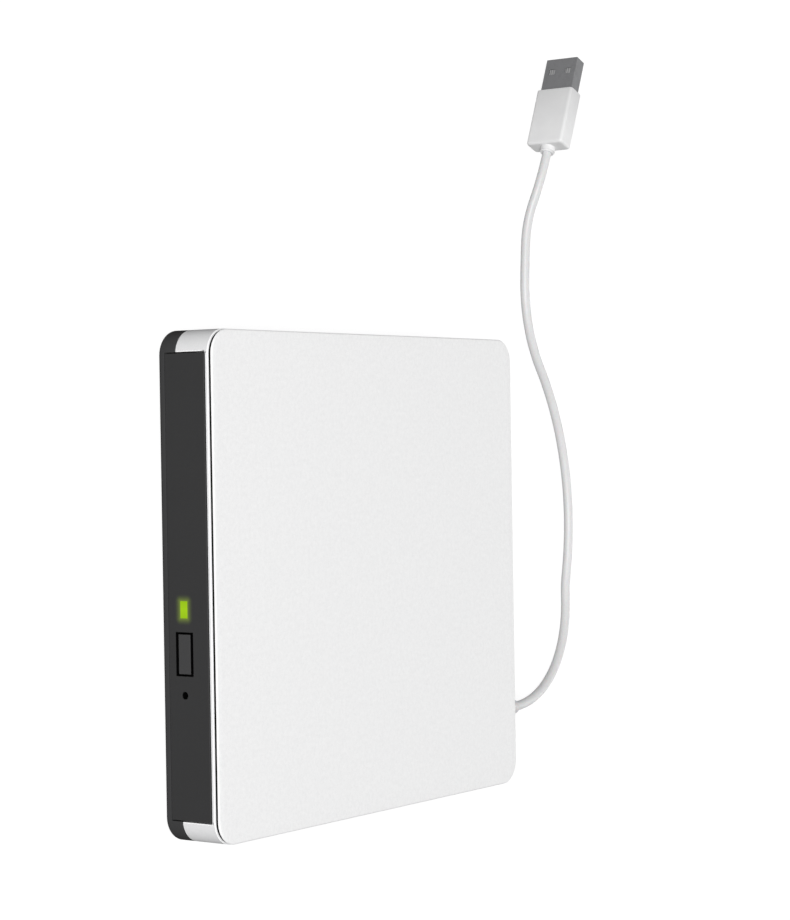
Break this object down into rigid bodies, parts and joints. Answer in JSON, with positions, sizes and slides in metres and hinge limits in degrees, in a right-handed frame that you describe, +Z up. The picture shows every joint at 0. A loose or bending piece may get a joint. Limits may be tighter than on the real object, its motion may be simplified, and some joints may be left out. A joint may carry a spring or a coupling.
{
  "type": "external disc drive",
  "caption": "Flat external optical disc drive with a slide-out tray on telescopic rails, eject button, spindle, pickup traverse and a fixed data cord.",
  "frame": {"origin": "middle of the case's footprint on the underside of its feet, cord and plug left out", "axes": "+X to the right seen from the front, +Y towards the back where the cord leaves, +Z up through the cover; the tray opens along -Y"},
  "size_m": [0.2366, 0.2131, 0.02],
  "materials": {
    "shell_black": "fine matte",
    "frame_silver": "silver paint, satin",
    "cover_white": "fine speckled white",
    "seal_black": "black film",
    "foot_rubber": "matte",
    "screw_steel": "zinc plated",
    "can_steel": "galvanised sheet",
    "foam": "foam",
    "guide_plastic": "matte",
    "board_green": "solder mask",
    "chip_black": "moulded",
    "ribbon": "film",
    "cord_white": "satin jacket",
    "grip_white": "satin",
    "plug_metal": "nickel",
    "contact_gold": "plated",
    "tray_black": "fine matte",
    "bezel_black": "fine matte",
    "button_black": "fine matte",
    "light_pipe": "lit, clear",
    "coil_copper": "enamelled wire",
    "motor_steel": "plated",
    "hub_black": "matte",
    "pad_rubber": "matte",
    "claw_plastic": "matte",
    "pickup_alloy": "die cast",
    "lens_glass": "coated",
    "nut_white": "acetal"
  },
  "bodies": {
    "housing": {"bottom_shell": "shell_black", "upper_frame": "frame_silver", "cover_adhesive": "seal_black", "top_cover": "cover_white", "rubber_feet": "foot_rubber", "case_screws": "screw_steel", "drive_pan": "can_steel", "drive_lid": "can_steel", "foam_strips": "foam", "rail_guide_left": "guide_plastic", "rail_guide_right": "guide_plastic", "drive_board": "board_green", "drive_chips": "chip_black", "flex_ribbon": "ribbon", "latch_post": "screw_steel", "sata_plug": "chip_black", "sata_socket": "chip_black", "bridge_board": "board_green", "bridge_chips": "chip_black", "cable_boot": "cord_white", "usb_cable": "cord_white", "plug_grip": "grip_white", "plug_shell": "plug_metal", "plug_tongue": "chip_black", "plug_contacts": "contact_gold"},
    "rails": {"slide_rail_left": "can_steel", "slide_rail_right": "can_steel"},
    "tray": {"tray_base": "tray_black", "front_bezel": "bezel_black", "led_lens": "light_pipe", "tray_shield": "can_steel", "tray_board": "board_green", "eject_switch": "chip_black", "status_led": "nut_white", "flex_socket": "chip_black", "latch_solenoid": "coil_copper", "traverse_plate": "can_steel", "plate_dampers": "pad_rubber", "damper_screws": "screw_steel", "motor_base": "motor_steel", "motor_stator": "coil_copper", "guide_rod_front": "screw_steel", "guide_rod_rear": "screw_steel", "sled_motor": "motor_steel"},
    "button": {"eject_button": "button_black"},
    "spindle": {"spindle_rotor": "motor_steel", "turntable": "hub_black", "turntable_pad": "pad_rubber"},
    "claw_a": {"clamp_claw_a": "claw_plastic"},
    "claw_b": {"clamp_claw_b": "claw_plastic"},
    "claw_c": {"clamp_claw_c": "claw_plastic"},
    "pickup": {"pickup_base": "pickup_alloy", "pickup_cover": "can_steel", "sled_nut": "nut_white"},
    "lens": {"lens_holder": "chip_black", "objective_lens": "lens_glass"},
    "lead": {"lead_screw": "screw_steel"},
    "latch": {"latch_hook": "can_steel"}
  },
  "joints": [
    {"name": "tray_slide", "type": "slide", "parent": "housing", "child": "tray", "axis": [0, -1, 0], "range_m": [0, 0.13], "deforming": ["flex_ribbon"]},
    {"name": "rails_slide", "type": "slide", "parent": "housing", "child": "rails", "axis": [0, -1, 0], "range_m": [0, 0.065]},
    {"name": "eject_press", "type": "slide", "parent": "tray", "child": "button", "axis": [0, 1, 0], "range_m": [0, 0.0008], "stiffness_N_per_m": 600},
    {"name": "spindle_spin", "type": "hinge", "parent": "tray", "child": "spindle", "pos_m": [0, -0.008, 0.0116], "axis": [0, 0, 1], "continuous": true},
    {"name": "claw_a_press", "type": "slide", "parent": "spindle", "child": "claw_a", "axis": [0, -1, 0], "range_m": [0, 0.0006], "stiffness_N_per_m": 400},
    {"name": "claw_b_press", "type": "slide", "parent": "spindle", "child": "claw_b", "axis": [0.866, 0.5, 0], "range_m": [0, 0.0006], "stiffness_N_per_m": 400},
    {"name": "claw_c_press", "type": "slide", "parent": "spindle", "child": "claw_c", "axis": [-0.866, 0.5, 0], "range_m": [0, 0.0006], "stiffness_N_per_m": 400},
    {"name": "pickup_slide", "type": "slide", "parent": "tray", "child": "pickup", "axis": [-0.7071, -0.7071, 0], "range_m": [0, 0.034]},
    {"name": "lead_screw_spin", "type": "hinge", "parent": "tray", "child": "lead", "pos_m": [0.01308, -0.02108, 0.0066], "axis": [-0.7071, -0.7071, 0], "continuous": true},
    {"name": "lens_focus", "type": "slide", "parent": "pickup", "child": "lens", "axis": [0, 0, 1], "range_m": [-0.0005, 0.0005], "stiffness_N_per_m": 60},
    {"name": "latch_turn", "type": "hinge", "parent": "tray", "child": "latch", "pos_m": [-0.04, 0.026, 0.0057], "axis": [0, 0, 1], "range_deg": [0, 14]}
  ],
  "couplings": [
    {"joint": "rails_slide", "follows": "tray_slide", "ratio": 0.5},
    {"joint": "lead_screw_spin", "follows": "pickup_slide", "rad_per_m": 2094.4}
  ]
}
